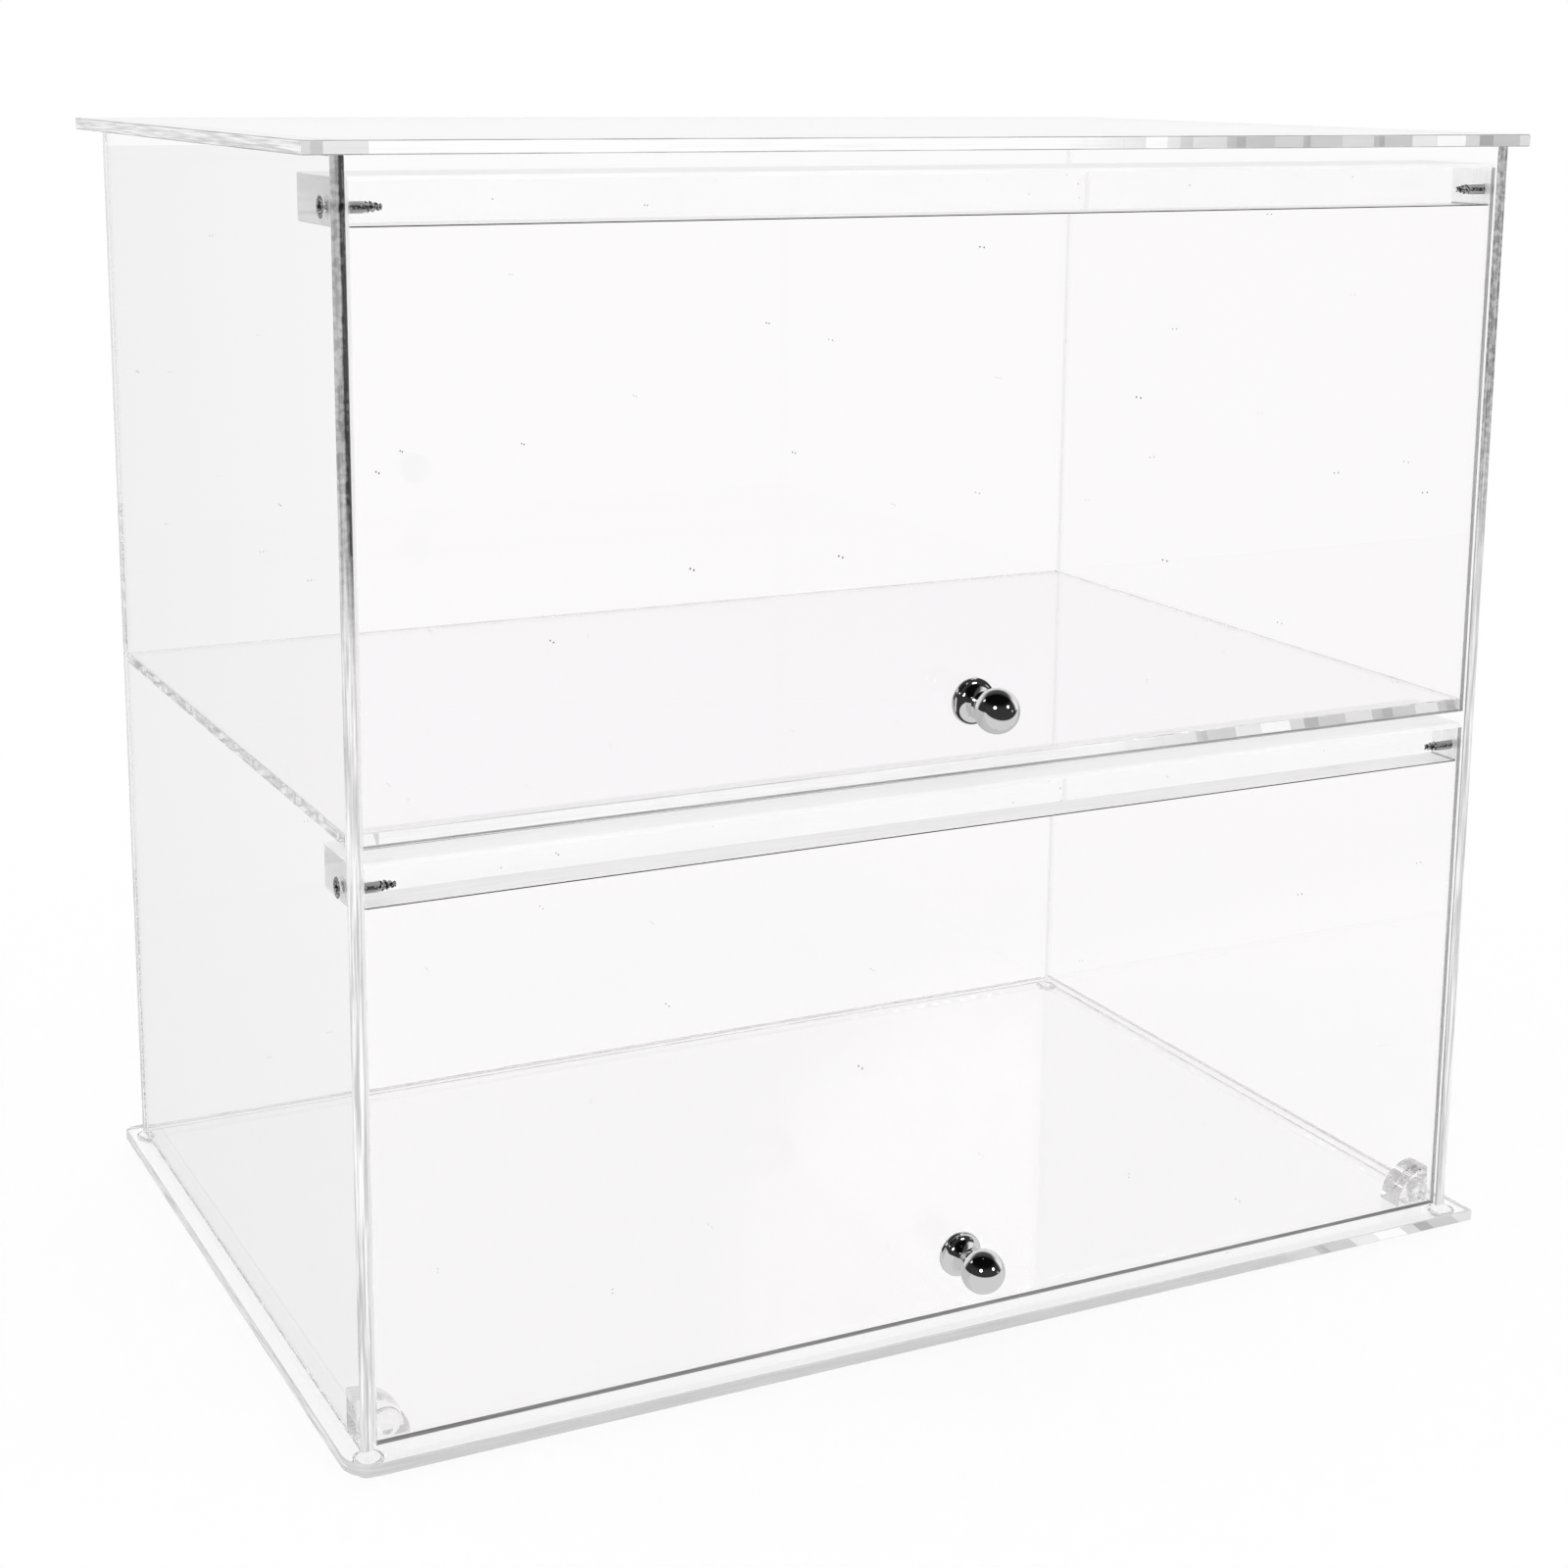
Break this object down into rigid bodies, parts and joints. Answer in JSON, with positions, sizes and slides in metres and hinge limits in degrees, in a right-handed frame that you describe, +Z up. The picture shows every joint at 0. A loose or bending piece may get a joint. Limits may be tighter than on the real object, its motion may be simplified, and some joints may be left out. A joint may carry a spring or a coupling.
{
  "type": "countertop display case",
  "caption": "Clear acrylic countertop case with a shelf; each tier closes with a top-hung lift-up door that turns on side screws and is lifted by a chrome ball knob.",
  "frame": {"origin": "on the table, under the middle of the whole outline, knobs included", "axes": "+X along the case's width, to the right as one faces its doors; +Y to the back; +Z up"},
  "size_m": [0.52, 0.365, 0.4772],
  "materials": {
    "acrylic": "clear polished acrylic sheet",
    "bumper": "clear soft polyurethane",
    "chrome": "polished chrome plate",
    "steel": "bright zinc-plated steel screws"
  },
  "bodies": {
    "case": {"base_plate": "acrylic", "side_panel_left": "acrylic", "side_panel_right": "acrylic", "back_panel": "acrylic", "shelf": "acrylic", "top_plate": "acrylic", "stop_block_left": "acrylic", "stop_block_right": "acrylic", "stop_bumper_left": "bumper", "stop_bumper_right": "bumper", "foot_front_left": "bumper", "foot_front_right": "bumper", "foot_rear_left": "bumper", "foot_rear_right": "bumper"},
    "upper_door": {"upper_door": "acrylic", "upper_hinge_bar": "acrylic", "upper_hinge_screw_left": "steel", "upper_hinge_screw_right": "steel", "upper_knob": "chrome", "upper_knob_screw": "steel"},
    "lower_door": {"lower_door": "acrylic", "lower_hinge_bar": "acrylic", "lower_hinge_screw_left": "steel", "lower_hinge_screw_right": "steel", "lower_knob": "chrome", "lower_knob_screw": "steel"}
  },
  "joints": [
    {"name": "upper_door_hinge", "type": "hinge", "parent": "case", "child": "upper_door", "pos_m": [0, -0.14297, 0.4547], "axis": [-1, 0, 0], "range_deg": [0, 95]},
    {"name": "lower_door_hinge", "type": "hinge", "parent": "case", "child": "lower_door", "pos_m": [0, -0.14297, 0.2182], "axis": [-1, 0, 0], "range_deg": [0, 95]}
  ]
}
